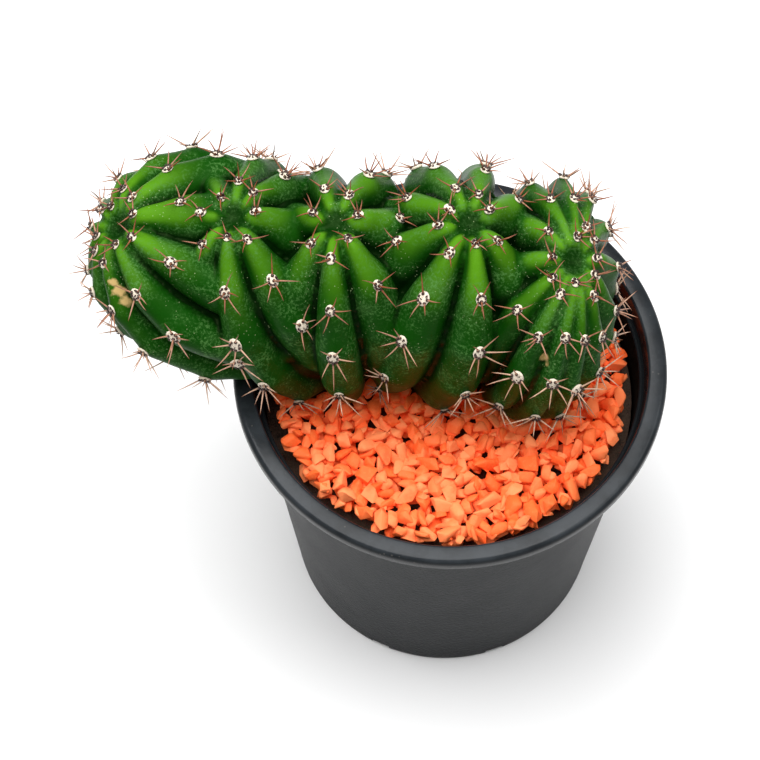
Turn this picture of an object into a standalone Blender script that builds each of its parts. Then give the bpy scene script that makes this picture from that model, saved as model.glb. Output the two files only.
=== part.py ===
"""A crested cactus in a round plastic nursery pot.

The stem is one grown piece: a row of five fused heads, each with ribs that run from its
growing point over the shoulder and down to the shared neck. It stands in potting soil under
a bed of dyed gravel. Origin: centre of the pot's base, on the surface it stands on.
"""

import math

import bmesh
import bpy
import numpy as np
from mathutils import Matrix, Vector, noise
from mathutils.bvhtree import BVHTree

MM = 0.001

# Pot: a thin injection-moulded nursery pot
POT_HEIGHT = 114.2 * MM
RIM_RADIUS = 62.5 * MM
RIM_CROWN_RADIUS = 60.7 * MM
RIM_MOUTH_RADIUS = 57.4 * MM
RIM_ROUNDING = 1.8 * MM
SKIRT_DROP = 4.1 * MM
WALL = 1.3 * MM
BODY_TOP_RADIUS = 56.9 * MM
BASE_RADIUS = 47.5 * MM
LEDGE_DROP = 5.9 * MM
FLOOR_TOP = 4.0 * MM
CHANNELS = 8
CHANNEL_WIDTH = 6.0 * MM
CHANNEL_HEIGHT = 2.6 * MM
CHANNEL_START = 16.0 * MM
DRAIN_HOLE_RADIUS = 3.0 * MM
DRAIN_HOLE_REACH = 34.0 * MM
ROUND_STEPS = 64

# Filling
CLEARANCE = 0.4 * MM
SOIL_TOP = 94.0 * MM
GRAVEL_LEVEL = 104.6 * MM
GRAVEL_RADIUS = 53.2 * MM
GRAVEL_BUMP = 1.3 * MM

# Stem: five heads, in mm. half_width is (left, right), half_depth is (front, back); bearings place
# the rib crests round the growing point, 0 = +X, 90 = +Y; faces and lean are the directions of the
# axis at its two ends.
HEADS = (
    dict(name="head1", crown=(-94, 13, 163), faces=(-0.70, 0.0, 1), root=(-30, 14, 127),
         lean=(-1.0, 0.0, 0.15), half_width=(26, 29), half_depth=(31, 35),
         bearings=(10, 47, 80, 112, 140, 166, 192, 218, 250, 284, 322)),
    dict(name="head2", crown=(-61, 13, 171), faces=(-0.15, 0.0, 1), root=(-34, 13, 98),
         lean=(-0.4, 0.0, 1.0), half_width=(26, 26), half_depth=(31, 33),
         bearings=(8, 46, 84, 126, 172, 222, 264, 308)),
    dict(name="head3", crown=(-33, 12, 172), faces=(-0.10, 0.0, 1), root=(-27, 14, 97),
         lean=(-0.1, 0.0, 1.0), half_width=(25, 25), half_depth=(32, 32),
         bearings=(14, 62, 112, 160, 222, 268, 314)),
    dict(name="head4", crown=(4, 13, 173), faces=(0.12, 0.0, 1), root=(-12, 14, 97),
         lean=(0.3, 0.0, 1.0), half_width=(28, 26), half_depth=(33, 34),
         bearings=(35, 75, 118, 155, 190, 238, 286, 334)),
    dict(name="head5", crown=(33, 6, 167), faces=(0.25, -0.05, 1), root=(13, 12, 97),
         lean=(0.7, 0.0, 1.0), half_width=(25, 19), half_depth=(31, 37),
         bearings=(10, 36, 62, 88, 115, 145, 180, 218, 245, 268, 292, 316, 342)),
)
WIDEST = 0.45            # share of the way from crown to root where a head is widest
NECK_SHARE = 0.86        # how far the squared width has closed in at the root
NECK_BEND = 2.2          # higher keeps the width longer before the neck
CROWN_PULL = 0.40        # how stiffly the axis leaves the growing point
ROOT_PULL = 0.33         # and the root
SQUARENESS = 2.2         # 2 gives a round dome, more gives it squarer shoulders
GROOVE = 0.62            # depth of a crease over the width of its rib
DEEPEST_GROOVE = 10.0
RIB_CREST = 1.8          # higher makes a rib flatter on its crest
RIB_FLANK = 0.6          # lower makes a rib fall off more steeply at its crease
CROWN_CREASE = 1.0       # how much deeper the creases are near a growing point
CROWN_REACH = 12.0
DIMPLE = (4.0, 4.5)      # depth and radius of the hollow at the growing point
STEM_RINGS = 40
STEM_TURNS = 96
RING_CROWDING = 1.8      # crowds the rings of a head towards its growing point
STEM_VOXEL = 1.8 * MM
STEM_TRIANGLES = 7000
STEM_FLOOR = 95.0 * MM
RIM_GAP = 0.6 * MM       # between the overhanging head and the rim

# Areoles: a felt pad with a fan of short spines
PAD_RADIUS = 1.9 * MM
PAD_HEIGHT = 1.3 * MM
PAD_LIFT = 0.6 * MM
SPINE_LENGTH = 7.5 * MM
SPINE_SLANT = 0.7
SPINE_TIP = 0.12
FAN_ROWS = (0.075, 0.20, 0.40)   # places of areoles on a rib, from crown to root
FAN_SPACING = 13.5 * MM

# Colours, linear
CHARCOAL = (0.022, 0.025, 0.028, 1)
EARTH = (0.035, 0.022, 0.014, 1)
CORAL = (0.85, 0.17, 0.06, 1)
GREEN = (0.045, 0.16, 0.018, 1)
SPINE_BROWN = (0.36, 0.15, 0.08, 1)


def clear_scene():
    for old in list(bpy.data.objects):
        bpy.data.objects.remove(old)


def collection(name):
    made = bpy.data.collections.new(name)
    bpy.context.scene.collection.children.link(made)
    return made


def material(name, colour, roughness):
    made = bpy.data.materials.new(name)
    made.use_nodes = True
    shader = made.node_tree.nodes["Principled BSDF"]
    shader.inputs["Base Color"].default_value = colour
    shader.inputs["Roughness"].default_value = roughness
    shader.inputs["Metallic"].default_value = 0.0
    return made


def add_object(name, bm, group, finish=None):
    mesh = bpy.data.meshes.new(name)
    bm.to_mesh(mesh)
    bm.free()
    made = bpy.data.objects.new(name, mesh)
    group.objects.link(made)
    if finish:
        mesh.materials.append(finish)
    return made


def add_cutter(name, bm, group):
    cutter = add_object(name, bm, group)
    cutter.hide_render = True
    cutter.display_type = "WIRE"
    return cutter


def turned(name, profile, group, finish):
    """A profile in the XZ plane, turned once round Z."""
    bm = bmesh.new()
    points = [bm.verts.new((x, 0.0, z)) for x, z in profile]
    for a, b in zip(points, points[1:]):
        bm.edges.new((a, b))
    made = add_object(name, bm, group, finish)
    turn = made.modifiers.new("turn", "SCREW")
    turn.steps = ROUND_STEPS
    turn.render_steps = ROUND_STEPS
    turn.use_merge_vertices = True
    turn.merge_threshold = 0.00005
    return made


def cut(target, cutter, name):
    boolean = target.modifiers.new(name, "BOOLEAN")
    boolean.operation = "DIFFERENCE"
    boolean.solver = "EXACT"
    boolean.object = cutter


def inner_radius(z):
    """Inside of the pot's wall at height z."""
    share = z / (POT_HEIGHT - SKIRT_DROP)
    return BASE_RADIUS + (BODY_TOP_RADIUS - BASE_RADIUS) * share - WALL


def build_pot(parts, cutters):
    ledge = POT_HEIGHT - LEDGE_DROP
    skirt = POT_HEIGHT - SKIRT_DROP
    profile = (
        (0.0, FLOOR_TOP),
        (inner_radius(FLOOR_TOP), FLOOR_TOP),
        (inner_radius(ledge - 1.5 * MM), ledge - 1.5 * MM),
        (inner_radius(ledge) + 0.4 * MM, ledge),
        (RIM_MOUTH_RADIUS - 0.3 * MM, POT_HEIGHT - 0.5 * MM),
        (RIM_MOUTH_RADIUS + 0.4 * MM, POT_HEIGHT),
        (RIM_CROWN_RADIUS, POT_HEIGHT),
        (RIM_RADIUS - 0.5 * MM, POT_HEIGHT - 0.6 * MM),
        (RIM_RADIUS, POT_HEIGHT - RIM_ROUNDING),
        (RIM_RADIUS, skirt),
        (RIM_RADIUS - WALL, skirt),
        (RIM_RADIUS - WALL - 0.4 * MM, skirt + 1.6 * MM),
        (BODY_TOP_RADIUS + 0.6 * MM, skirt + 1.6 * MM),
        (BODY_TOP_RADIUS, skirt + 0.4 * MM),
        (BASE_RADIUS + 0.2 * MM, 1.2 * MM),
        (BASE_RADIUS - 1.0 * MM, 0.0),
        (0.0, 0.0),
    )
    pot = turned("pot", profile, parts, material("charcoal plastic", CHARCOAL, 0.42))
    bm = bmesh.new()
    length = BASE_RADIUS + 5 * MM - CHANNEL_START
    for turn in range(CHANNELS):
        spin = Matrix.Rotation(math.tau * (turn + 0.5) / CHANNELS, 4, "Z")
        slot = Matrix.Translation((CHANNEL_START + length / 2, 0, CHANNEL_HEIGHT / 2 - 2 * MM))
        size = Matrix.Diagonal((length, CHANNEL_WIDTH, CHANNEL_HEIGHT + 4 * MM, 1))
        bmesh.ops.create_cube(bm, size=1.0, matrix=spin @ slot @ size)
    cut(pot, add_cutter("drain_channel_cutter", bm, cutters), "drain channels")
    bm = bmesh.new()
    for turn in range(CHANNELS):
        spin = Matrix.Rotation(math.tau * (turn + 0.5) / CHANNELS, 4, "Z")
        place = spin @ Matrix.Translation((DRAIN_HOLE_REACH, 0, 0))
        bmesh.ops.create_cone(bm, cap_ends=True, segments=12, radius1=DRAIN_HOLE_RADIUS,
                              radius2=DRAIN_HOLE_RADIUS, depth=20 * MM, matrix=place)
    # a hole is wider than its channel's floor is thick, so the soil drains through it
    cut(pot, add_cutter("drain_hole_cutter", bm, cutters), "drain holes")
    return pot


def build_soil(parts):
    base = FLOOR_TOP + CLEARANCE
    profile = (
        (0.0, SOIL_TOP),
        (inner_radius(SOIL_TOP) - CLEARANCE, SOIL_TOP),
        (inner_radius(base) - CLEARANCE, base),
        (0.0, base),
    )
    return turned("potting_soil", profile, parts, material("potting earth", EARTH, 0.95))


def unit(vector):
    vector = np.array(vector, float)
    return vector / np.linalg.norm(vector)


def head_axis(head, share):
    """Middle line of a head: a cubic from the growing point (0) down to the root (1)."""
    crown = np.array(head["crown"], float)
    root = np.array(head["root"], float)
    span = np.linalg.norm(crown - root)
    below = crown - unit(head["faces"]) * span * CROWN_PULL
    above = root + unit(head["lean"]) * span * ROOT_PULL
    t = share[:, None]
    return ((1 - t) ** 3 * crown + 3 * (1 - t) ** 2 * t * below
            + 3 * (1 - t) * t ** 2 * above + t ** 3 * root)


def width_share(share):
    """Share of the full half width: a dome above, closing in to the neck below."""
    dome = np.clip(1 - np.abs(1 - share / WIDEST) ** SQUARENESS, 0, None) ** (1 / SQUARENESS)
    below = np.clip((share - WIDEST) / (1 - WIDEST), 0, 1)
    neck = np.sqrt(1 - NECK_SHARE * below ** NECK_BEND)
    return np.where(share < WIDEST, dome, neck)


def envelope(head, bearing, share):
    """The smooth outline that the rib crests lie on, without its creases."""
    step = 0.001
    middle = head_axis(head, share)
    down = head_axis(head, share + step) - head_axis(head, share - step)
    down /= np.linalg.norm(down, axis=1)[:, None]
    side = np.array((1.0, 0, 0)) - down * down[:, [0]]
    side /= np.linalg.norm(side, axis=1)[:, None]
    back = np.cross(side, down)
    across = np.cos(np.radians(bearing))
    along = np.sin(np.radians(bearing))
    front_depth, back_depth = head["half_depth"]
    depth = np.where(along > 0, back_depth, front_depth)
    left_width, right_width = head["half_width"]
    width = np.where(across > 0, right_width, left_width)
    offset = (width * across)[:, None] * side + (depth * along)[:, None] * back
    offset *= width_share(share)[:, None]
    reach = np.linalg.norm(offset, axis=1)
    dimple = DIMPLE[0] * np.exp(-(reach / DIMPLE[1]) ** 2)
    return middle + offset + down * dimple[:, None]


def rib_place(head, bearing):
    """Where a bearing lies across its rib (0 on the crest, 1 in the crease) and the rib's angle."""
    crests = np.array(head["bearings"], float)
    wrapped = np.concatenate((crests - 360, crests, crests + 360))
    creases = (wrapped[1:] + wrapped[:-1]) / 2
    which = np.clip(np.searchsorted(creases, bearing), 1, len(creases) - 1)
    crest = wrapped[which]
    left = crest - creases[which - 1]
    right = creases[which] - crest
    turn = bearing - crest
    across = np.where(turn < 0, -turn / left, turn / right)
    return np.clip(across, 0, 1), left + right


def head_form(head, bearing, share):
    """Points on the ribbed skin of a head, in mm, and the outward direction there."""
    share = np.clip(share, 0.0001, 0.998)
    turn, step = 1.0, np.minimum(0.002, share / 2)
    smooth = envelope(head, bearing, share)
    round_way = envelope(head, bearing + turn, share) - envelope(head, bearing - turn, share)
    down_way = envelope(head, bearing, share + step) - envelope(head, bearing, share - step)
    outward = np.cross(down_way, round_way)
    outward /= np.maximum(np.linalg.norm(outward, axis=1)[:, None], 1e-9)
    across, angle = rib_place(head, bearing)
    width = np.linalg.norm(round_way, axis=1) / (2 * turn) * angle
    crease = 1 - np.clip(1 - across ** RIB_CREST, 0, 1) ** RIB_FLANK
    radius = np.linalg.norm(smooth - head_axis(head, share), axis=1)
    tighter = 1 + CROWN_CREASE * np.exp(-(radius / CROWN_REACH) ** 2)
    groove = np.minimum(GROOVE * width * tighter, DEEPEST_GROOVE) * crease
    return smooth - outward * groove[:, None], outward


def head_mesh(head):
    """A ribbed head: a sphere whose pole is the growing point, drawn out along the axis."""
    bm = bmesh.new()
    bmesh.ops.create_uvsphere(bm, u_segments=STEM_TURNS, v_segments=STEM_RINGS, radius=1.0)
    places = np.array([vert.co for vert in bm.verts])
    polar = np.arccos(np.clip(places[:, 2], -1, 1)) / math.pi
    bearing = np.degrees(np.arctan2(places[:, 1], places[:, 0])) % 360
    points, _ = head_form(head, bearing, polar ** RING_CROWDING)
    for vert, point in zip(bm.verts, points):
        vert.co = Vector(point) * MM
    bmesh.ops.recalc_face_normals(bm, faces=bm.faces)
    return bm


def stem_shapes():
    """All the heads as one loose mesh, before they are grown together."""
    bm = bmesh.new()
    for head in HEADS:
        part = head_mesh(head)
        mesh = bpy.data.meshes.new("head")
        part.to_mesh(mesh)
        part.free()
        bm.from_mesh(mesh)
        bpy.data.meshes.remove(mesh)
    return bm


def rim_clearance(cutters):
    """The pot's wall and rim, a little larger, to keep the overhanging head off them."""
    ledge = POT_HEIGHT - LEDGE_DROP
    profile = (
        (RIM_MOUTH_RADIUS, POT_HEIGHT + RIM_GAP),
        (RIM_CROWN_RADIUS, POT_HEIGHT + RIM_GAP),
        (RIM_RADIUS, POT_HEIGHT + RIM_GAP / 2),
        (RIM_RADIUS + RIM_GAP, POT_HEIGHT - RIM_ROUNDING),
        (RIM_RADIUS + RIM_GAP, SOIL_TOP),
        (inner_radius(SOIL_TOP) - RIM_GAP, SOIL_TOP),
        (inner_radius(ledge) - RIM_GAP, ledge),
        (RIM_MOUTH_RADIUS - RIM_GAP, POT_HEIGHT),
        (RIM_MOUTH_RADIUS, POT_HEIGHT + RIM_GAP),
    )
    ring = turned("rim_clearance_cutter", profile, cutters, None)
    ring.hide_render = True
    ring.display_type = "WIRE"
    return ring


def build_stem(parts, cutters):
    stem = add_object("cactus_stem", stem_shapes(), parts, material("cactus skin", GREEN, 0.45))
    grow = stem.modifiers.new("grow together", "REMESH")
    grow.mode = "VOXEL"
    grow.voxel_size = STEM_VOXEL
    bpy.context.view_layer.update()
    grown = stem.evaluated_get(bpy.context.evaluated_depsgraph_get()).data
    grown.calc_loop_triangles()
    thin = stem.modifiers.new("thin out", "DECIMATE")
    thin.ratio = min(1.0, STEM_TRIANGLES / len(grown.loop_triangles))
    thin.use_collapse_triangulate = True
    bpy.context.view_layer.update()
    mesh = bpy.data.meshes.new_from_object(stem.evaluated_get(bpy.context.evaluated_depsgraph_get()))
    mesh.name = "cactus_stem"
    stem.modifiers.clear()
    stem.data = mesh
    bm = bmesh.new()
    bm.from_mesh(mesh)
    # the stem stands on the soil, so what would hang lower is trimmed flat
    trim = bmesh.ops.bisect_plane(bm, geom=bm.verts[:] + bm.edges[:] + bm.faces[:], dist=0.00001,
                                  plane_co=(0, 0, STEM_FLOOR), plane_no=(0, 0, -1), clear_outer=True)
    edges = [e for e in trim["geom_cut"] if isinstance(e, bmesh.types.BMEdge)]
    bmesh.ops.holes_fill(bm, edges=edges, sides=0)
    bmesh.ops.triangulate(bm, faces=bm.faces)
    bmesh.ops.recalc_face_normals(bm, faces=bm.faces)
    bm.to_mesh(mesh)
    bm.free()
    mesh.shade_smooth()
    cut(stem, rim_clearance(cutters), "rests clear of the rim")
    return stem


def build_gravel(stem, parts, cutters):
    """A layer of gravel with a lumpy top, cut away round the stem."""
    bm = bmesh.new()
    base = SOIL_TOP + CLEARANCE
    bmesh.ops.create_circle(bm, cap_ends=False, segments=ROUND_STEPS // 2, radius=GRAVEL_RADIUS,
                            matrix=Matrix.Translation((0, 0, GRAVEL_LEVEL)))
    rim = bm.edges[:]
    for radius in (44, 35, 26, 17, 9):
        shrink = radius * MM / GRAVEL_RADIUS
        ring = bmesh.ops.extrude_edge_only(bm, edges=rim)["geom"]
        rim = [e for e in ring if isinstance(e, bmesh.types.BMEdge)]
        inner = {v for e in rim for v in e.verts}
        for vert in inner:
            length = math.hypot(vert.co.x, vert.co.y)
            vert.co.x *= shrink * GRAVEL_RADIUS / length
            vert.co.y *= shrink * GRAVEL_RADIUS / length
    bmesh.ops.contextual_create(bm, geom=rim)
    for vert in bm.verts:
        lump = noise.noise(Vector((vert.co.x, vert.co.y, 0.3)) / (7 * MM))
        vert.co.z += GRAVEL_BUMP * lump
    skirt = [e for e in bm.edges if e.is_boundary]
    drop = bmesh.ops.extrude_edge_only(bm, edges=skirt)["geom"]
    low = [v for v in drop if isinstance(v, bmesh.types.BMVert)]
    for vert in low:
        vert.co.z = base
        length = math.hypot(vert.co.x, vert.co.y)
        fit = (inner_radius(base) - CLEARANCE) / length
        vert.co.x *= min(fit, 1.0)
        vert.co.y *= min(fit, 1.0)
    bmesh.ops.contextual_create(bm, geom=[e for e in bm.edges if e.is_boundary])
    bmesh.ops.triangulate(bm, faces=bm.faces)
    bmesh.ops.recalc_face_normals(bm, faces=bm.faces)
    gravel = add_object("gravel_bed", bm, parts, material("dyed gravel", CORAL, 0.65))
    bm = bmesh.new()
    bm.from_mesh(stem.data)
    bm.normal_update()
    for vert in bm.verts:
        vert.co += vert.normal * CLEARANCE * 1.6
    for vert in bm.verts:
        if vert.co.z < STEM_FLOOR + 0.1 * MM:
            vert.co.z -= 4 * MM
    cut(gravel, add_cutter("stem_clearance_cutter", bm, cutters), "room for the stem")
    return gravel


def spine_fan(name, place, skin, group, finish):
    """A felt pad with five spines drawn out of its faces, kept clear of the skin."""
    bm = bmesh.new()
    bmesh.ops.create_uvsphere(bm, u_segments=6, v_segments=4, radius=1.0)
    upper = [f for f in bm.faces if f.calc_center_median().z > 0.05 and len(f.verts) == 4]
    upper.sort(key=lambda f: math.atan2(f.calc_center_median().y, f.calc_center_median().x))
    for vert in bm.verts:
        vert.co = Vector((vert.co.x * PAD_RADIUS, vert.co.y * PAD_RADIUS, vert.co.z * PAD_HEIGHT / 2))
    for face in upper[:5]:
        centre = face.calc_center_median()
        flat = Vector((centre.x, centre.y, 0)).normalized()
        aim = (flat * SPINE_SLANT + Vector((0, 0, 1))).normalized()
        _, _, _, room = skin.ray_cast(place @ centre, place.to_3x3() @ aim, SPINE_LENGTH + 2 * MM)
        length = SPINE_LENGTH if room is None else room - 2 * MM
        if length < SPINE_LENGTH / 3:
            continue
        drawn = bmesh.ops.extrude_discrete_faces(bm, faces=[face])["faces"][0]
        for vert in drawn.verts:
            vert.co = centre + (vert.co - centre) * SPINE_TIP + aim * length
    bmesh.ops.recalc_face_normals(bm, faces=bm.faces)
    fan = add_object(name, bm, group, finish)
    fan.matrix_world = place
    return fan


def resting_height(skin, hit, normal, side):
    """How far the skin rises above the plane at hit, under a pad."""
    highest = 0.0
    ahead = normal.cross(side)
    for turn in range(8):
        angle = math.tau * turn / 8
        out = (side * math.cos(angle) + ahead * math.sin(angle)) * PAD_RADIUS
        above, _, _, _ = skin.ray_cast(hit + out + normal * 4 * MM, -normal, 8 * MM)
        if above is not None:
            highest = max(highest, (above - hit).dot(normal))
    return highest


def build_spines(stem, group):
    """Spine fans on the rib crests that show: near the crown, on the shoulder and on the flank."""
    skin = BVHTree.FromObject(stem, bpy.context.evaluated_depsgraph_get())
    finish = material("spine brown", SPINE_BROWN, 0.55)
    made = []
    centres = []
    for head in HEADS:
        count = 0
        bearings = np.array(head["bearings"], float)
        for row, share in enumerate(FAN_ROWS):
            places, outwards = head_form(head, bearings, np.full(len(bearings), share))
            higher, _ = head_form(head, bearings, np.full(len(bearings), share - 0.03))
            for index, (crest, out, above) in enumerate(zip(places, outwards, higher)):
                if row != 1 and index % 3 != 1:
                    continue
                out = Vector(out)
                hit, normal, _, distance = skin.ray_cast(Vector(crest) * MM + out * 25 * MM, -out)
                buried = hit is None or abs(distance - 25 * MM) > 3 * MM
                if buried or hit.z < GRAVEL_LEVEL + 12 * MM:
                    continue
                if any((hit - other).length < FAN_SPACING for other in centres):
                    continue
                normal = (normal + out * 2).normalized()
                side = Vector(above - crest).cross(normal).normalized()
                place = Matrix((side, normal.cross(side), normal)).transposed().to_4x4()
                rise = resting_height(skin, hit, normal, side)
                if rise > 2 * MM:
                    continue
                count += 1
                centres.append(hit)
                place.translation = hit + normal * (PAD_HEIGHT / 2 + PAD_LIFT + rise)
                name = f"{head['name']}_spines_{count:02d}"
                made.append(spine_fan(name, place, skin, group, finish))
    return made


clear_scene()
PARTS = collection("potted_crested_cactus")
CUTTERS = collection("cutters")
build_pot(PARTS, CUTTERS)
build_soil(PARTS)
STEM = build_stem(PARTS, CUTTERS)
build_gravel(STEM, PARTS, CUTTERS)
SPINES = build_spines(STEM, PARTS)
print("spine clusters", len(SPINES))
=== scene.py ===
# %% [markdown]
# # A crested cactus in its nursery pot
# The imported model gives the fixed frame: the pot, the soil, a plain gravel layer, a coarse stem
# and a set of plain spine clusters. This lesson keeps every size and place, and makes the surfaces:
# the ribbed green skin, the felt pads and spines, the loose gravel, and the moulded plastic.

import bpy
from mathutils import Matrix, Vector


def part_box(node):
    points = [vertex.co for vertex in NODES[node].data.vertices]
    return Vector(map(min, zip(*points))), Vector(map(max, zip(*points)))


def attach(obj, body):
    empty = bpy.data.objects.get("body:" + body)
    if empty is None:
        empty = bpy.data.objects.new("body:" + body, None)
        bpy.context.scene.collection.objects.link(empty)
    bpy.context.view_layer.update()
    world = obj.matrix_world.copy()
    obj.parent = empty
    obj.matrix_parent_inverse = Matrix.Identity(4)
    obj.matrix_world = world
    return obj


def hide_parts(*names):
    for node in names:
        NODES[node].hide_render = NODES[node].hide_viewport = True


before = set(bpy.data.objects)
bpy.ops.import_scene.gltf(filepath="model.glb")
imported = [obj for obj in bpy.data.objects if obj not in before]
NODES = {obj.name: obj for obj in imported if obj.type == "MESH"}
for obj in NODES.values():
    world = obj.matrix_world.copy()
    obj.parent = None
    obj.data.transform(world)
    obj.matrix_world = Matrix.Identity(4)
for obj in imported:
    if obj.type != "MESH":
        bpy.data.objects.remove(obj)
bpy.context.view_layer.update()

import math
import random

import bmesh
import bpy
import numpy as np
from mathutils import Euler, Matrix, Vector, noise
from mathutils.bvhtree import BVHTree

MM = 0.001
POT_BOX = [list(corner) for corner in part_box("pot")]
POT_HEIGHT = POT_BOX[1][2]
RIM_RADIUS = POT_BOX[1][0]
print("pot height and rim radius, mm:", round(POT_HEIGHT / MM, 1), round(RIM_RADIUS / MM, 1))

# %% [markdown]
# ## Helpers
# Every new piece goes through the same door: it is written to a mesh, given its material, told
# which body it rides on and which frame nodes it stands for. Each piece could do this by itself;
# one function makes sure that none is forgotten.

# %% Helpers for pieces


def add_piece(name, bm, finish, stands_for=()):
    """A finished bmesh becomes a smooth-shaded object that rides on the root body."""
    mesh = bpy.data.meshes.new(name)
    bm.to_mesh(mesh)
    bm.free()
    piece = bpy.data.objects.new(name, mesh)
    bpy.context.scene.collection.objects.link(piece)
    mesh.materials.append(finish)
    mesh.shade_smooth()
    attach(piece, "root")
    if stands_for:
        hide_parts(*stands_for)
    return piece


def store(mesh, name, values):
    """One number a vertex, which a material can read by name."""
    layer = mesh.attributes.new(name, "FLOAT", "POINT")
    layer.data.foreach_set("value", np.asarray(values, dtype=np.float32))


def vertex_places(mesh):
    places = np.empty(len(mesh.vertices) * 3, dtype=np.float32)
    mesh.vertices.foreach_get("co", places)
    return places.reshape(-1, 3).astype(float)


print("nodes in the frame:", len(NODES))

# %% [markdown]
# ## Helpers for materials
# A material is a chain of nodes. It could be wired by hand in the editor; these helpers add a node
# and link it in one line, so that a chain reads from top to bottom like a recipe.

# %% Helpers for materials


def node(tree, kind, **values):
    """Adds a node; a value whose name is an input goes to that socket, any other to the node."""
    made = tree.nodes.new(kind)
    for key, value in values.items():
        label = key.replace("_", " ")
        if label in made.inputs:
            made.inputs[label].default_value = value
        else:
            setattr(made, key, value)
    return made


def new_material(name, roughness):
    made = bpy.data.materials.new(name)
    made.use_nodes = True
    shader = made.node_tree.nodes["Principled BSDF"]
    shader.inputs["Roughness"].default_value = roughness
    return made, made.node_tree, shader


def object_coordinates(tree):
    return node(tree, "ShaderNodeTexCoord").outputs["Object"]


def noise_at(tree, where, scale, detail=3.0, roughness=0.5):
    made = node(tree, "ShaderNodeTexNoise", Scale=scale, Detail=detail, Roughness=roughness)
    tree.links.new(where, made.inputs["Vector"])
    return made.outputs["Fac"]


def ramp(tree, value, low, high, start=0.0, end=1.0):
    """Maps a value between low and high onto start to end, smoothly."""
    made = node(tree, "ShaderNodeMapRange", interpolation_type="SMOOTHSTEP")
    made.inputs["From Min"].default_value = low
    made.inputs["From Max"].default_value = high
    made.inputs["To Min"].default_value = start
    made.inputs["To Max"].default_value = end
    tree.links.new(value, made.inputs["Value"])
    return made.outputs["Result"]


def maths(tree, operation, a, b=0.0):
    made = node(tree, "ShaderNodeMath", operation=operation)
    for socket, value in zip(made.inputs, (a, b)):
        if isinstance(value, (int, float)):
            socket.default_value = value
        else:
            tree.links.new(value, socket)
    return made.outputs["Value"]


MIX_INPUTS = (0, 6, 7)   # a colour Mix node's factor, first colour and second colour
MIX_RESULT = 2


def blend_colour(tree, mask, under, over):
    """Lays the colour over on the colour under where the mask is 1."""
    made = node(tree, "ShaderNodeMix", data_type="RGBA")
    for number, value in zip(MIX_INPUTS, (mask, under, over)):
        if isinstance(value, (int, float, tuple)):
            made.inputs[number].default_value = value
        else:
            tree.links.new(value, made.inputs[number])
    return made.outputs[MIX_RESULT]


def attribute(tree, name):
    return node(tree, "ShaderNodeAttribute", attribute_name=name).outputs["Fac"]


def bump(tree, shader, height, depth, strength=1.0):
    made = node(tree, "ShaderNodeBump", Strength=strength, Distance=depth)
    tree.links.new(height, made.inputs["Height"])
    tree.links.new(made.outputs["Normal"], shader.inputs["Normal"])


print("material helpers ready")

# %% [markdown]
# ## Shared effects
# Skin, felt, stone, earth and plastic all have a fine tooth, and skin and plastic both carry small
# scattered dots. Each effect could be copied into every material; as a node group it is built once
# and used with each material's own scale. A group puts out only a height or a mask.

# %% Shared effects
FINER = 3.7              # how much finer the second noise of a grain is
SPECK_PATCH_SCALE = 90.0
SPECK_PATCH_LEVEL = 0.55  # specks lie only where the patch noise is above this


def new_group(name, inputs, output):
    """A node group with a Vector and named numbers in, and one mask or height out."""
    tree = bpy.data.node_groups.new(name, "ShaderNodeTree")
    tree.interface.new_socket("Vector", in_out="INPUT", socket_type="NodeSocketVector")
    for label, value in inputs:
        socket = tree.interface.new_socket(label, in_out="INPUT", socket_type="NodeSocketFloat")
        socket.default_value = value
    tree.interface.new_socket(output, in_out="OUTPUT", socket_type="NodeSocketFloat")
    return tree, tree.nodes.new("NodeGroupInput"), tree.nodes.new("NodeGroupOutput")


def grain_group():
    """Coarse and fine noise together: the tooth of skin, stone, earth or moulded plastic."""
    tree, given, result = new_group("fine grain", (("Scale", 800.0), ("Fine Share", 0.4)), "Height")
    coarse = node(tree, "ShaderNodeTexNoise", Detail=2.0)
    fine = node(tree, "ShaderNodeTexNoise", Detail=3.0)
    tree.links.new(given.outputs["Vector"], coarse.inputs["Vector"])
    tree.links.new(given.outputs["Vector"], fine.inputs["Vector"])
    tree.links.new(given.outputs["Scale"], coarse.inputs["Scale"])
    finer = maths(tree, "MULTIPLY", given.outputs["Scale"], FINER)
    tree.links.new(finer, fine.inputs["Scale"])
    weighed = maths(tree, "MULTIPLY", fine.outputs["Fac"], given.outputs["Fine Share"])
    total = maths(tree, "ADD", coarse.outputs["Fac"], weighed)
    tree.links.new(total, result.inputs["Height"])
    return tree


def speck_group():
    """Small scattered dots: pale corky pin-pricks, dust, or grit."""
    tree, given, result = new_group("scattered specks", (("Scale", 500.0), ("Size", 0.16)), "Mask")
    cells = node(tree, "ShaderNodeTexVoronoi")
    tree.links.new(given.outputs["Vector"], cells.inputs["Vector"])
    tree.links.new(given.outputs["Scale"], cells.inputs["Scale"])
    near = maths(tree, "LESS_THAN", cells.outputs["Distance"], given.outputs["Size"])
    patchy = node(tree, "ShaderNodeTexNoise", Scale=SPECK_PATCH_SCALE, Detail=1.0)
    tree.links.new(given.outputs["Vector"], patchy.inputs["Vector"])
    some = maths(tree, "GREATER_THAN", patchy.outputs["Fac"], SPECK_PATCH_LEVEL)
    both = maths(tree, "MULTIPLY", near, some)
    tree.links.new(both, result.inputs["Mask"])
    return tree


GRAIN = grain_group()
SPECKS = speck_group()


def grain(tree, where, scale, fine_share):
    made = node(tree, "ShaderNodeGroup", node_tree=GRAIN)
    made.inputs["Scale"].default_value = scale
    made.inputs["Fine Share"].default_value = fine_share
    tree.links.new(where, made.inputs["Vector"])
    return made.outputs["Height"]


def specks(tree, where, scale, size):
    made = node(tree, "ShaderNodeGroup", node_tree=SPECKS)
    made.inputs["Scale"].default_value = scale
    made.inputs["Size"].default_value = size
    tree.links.new(where, made.inputs["Vector"])
    return made.outputs["Mask"]


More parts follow.
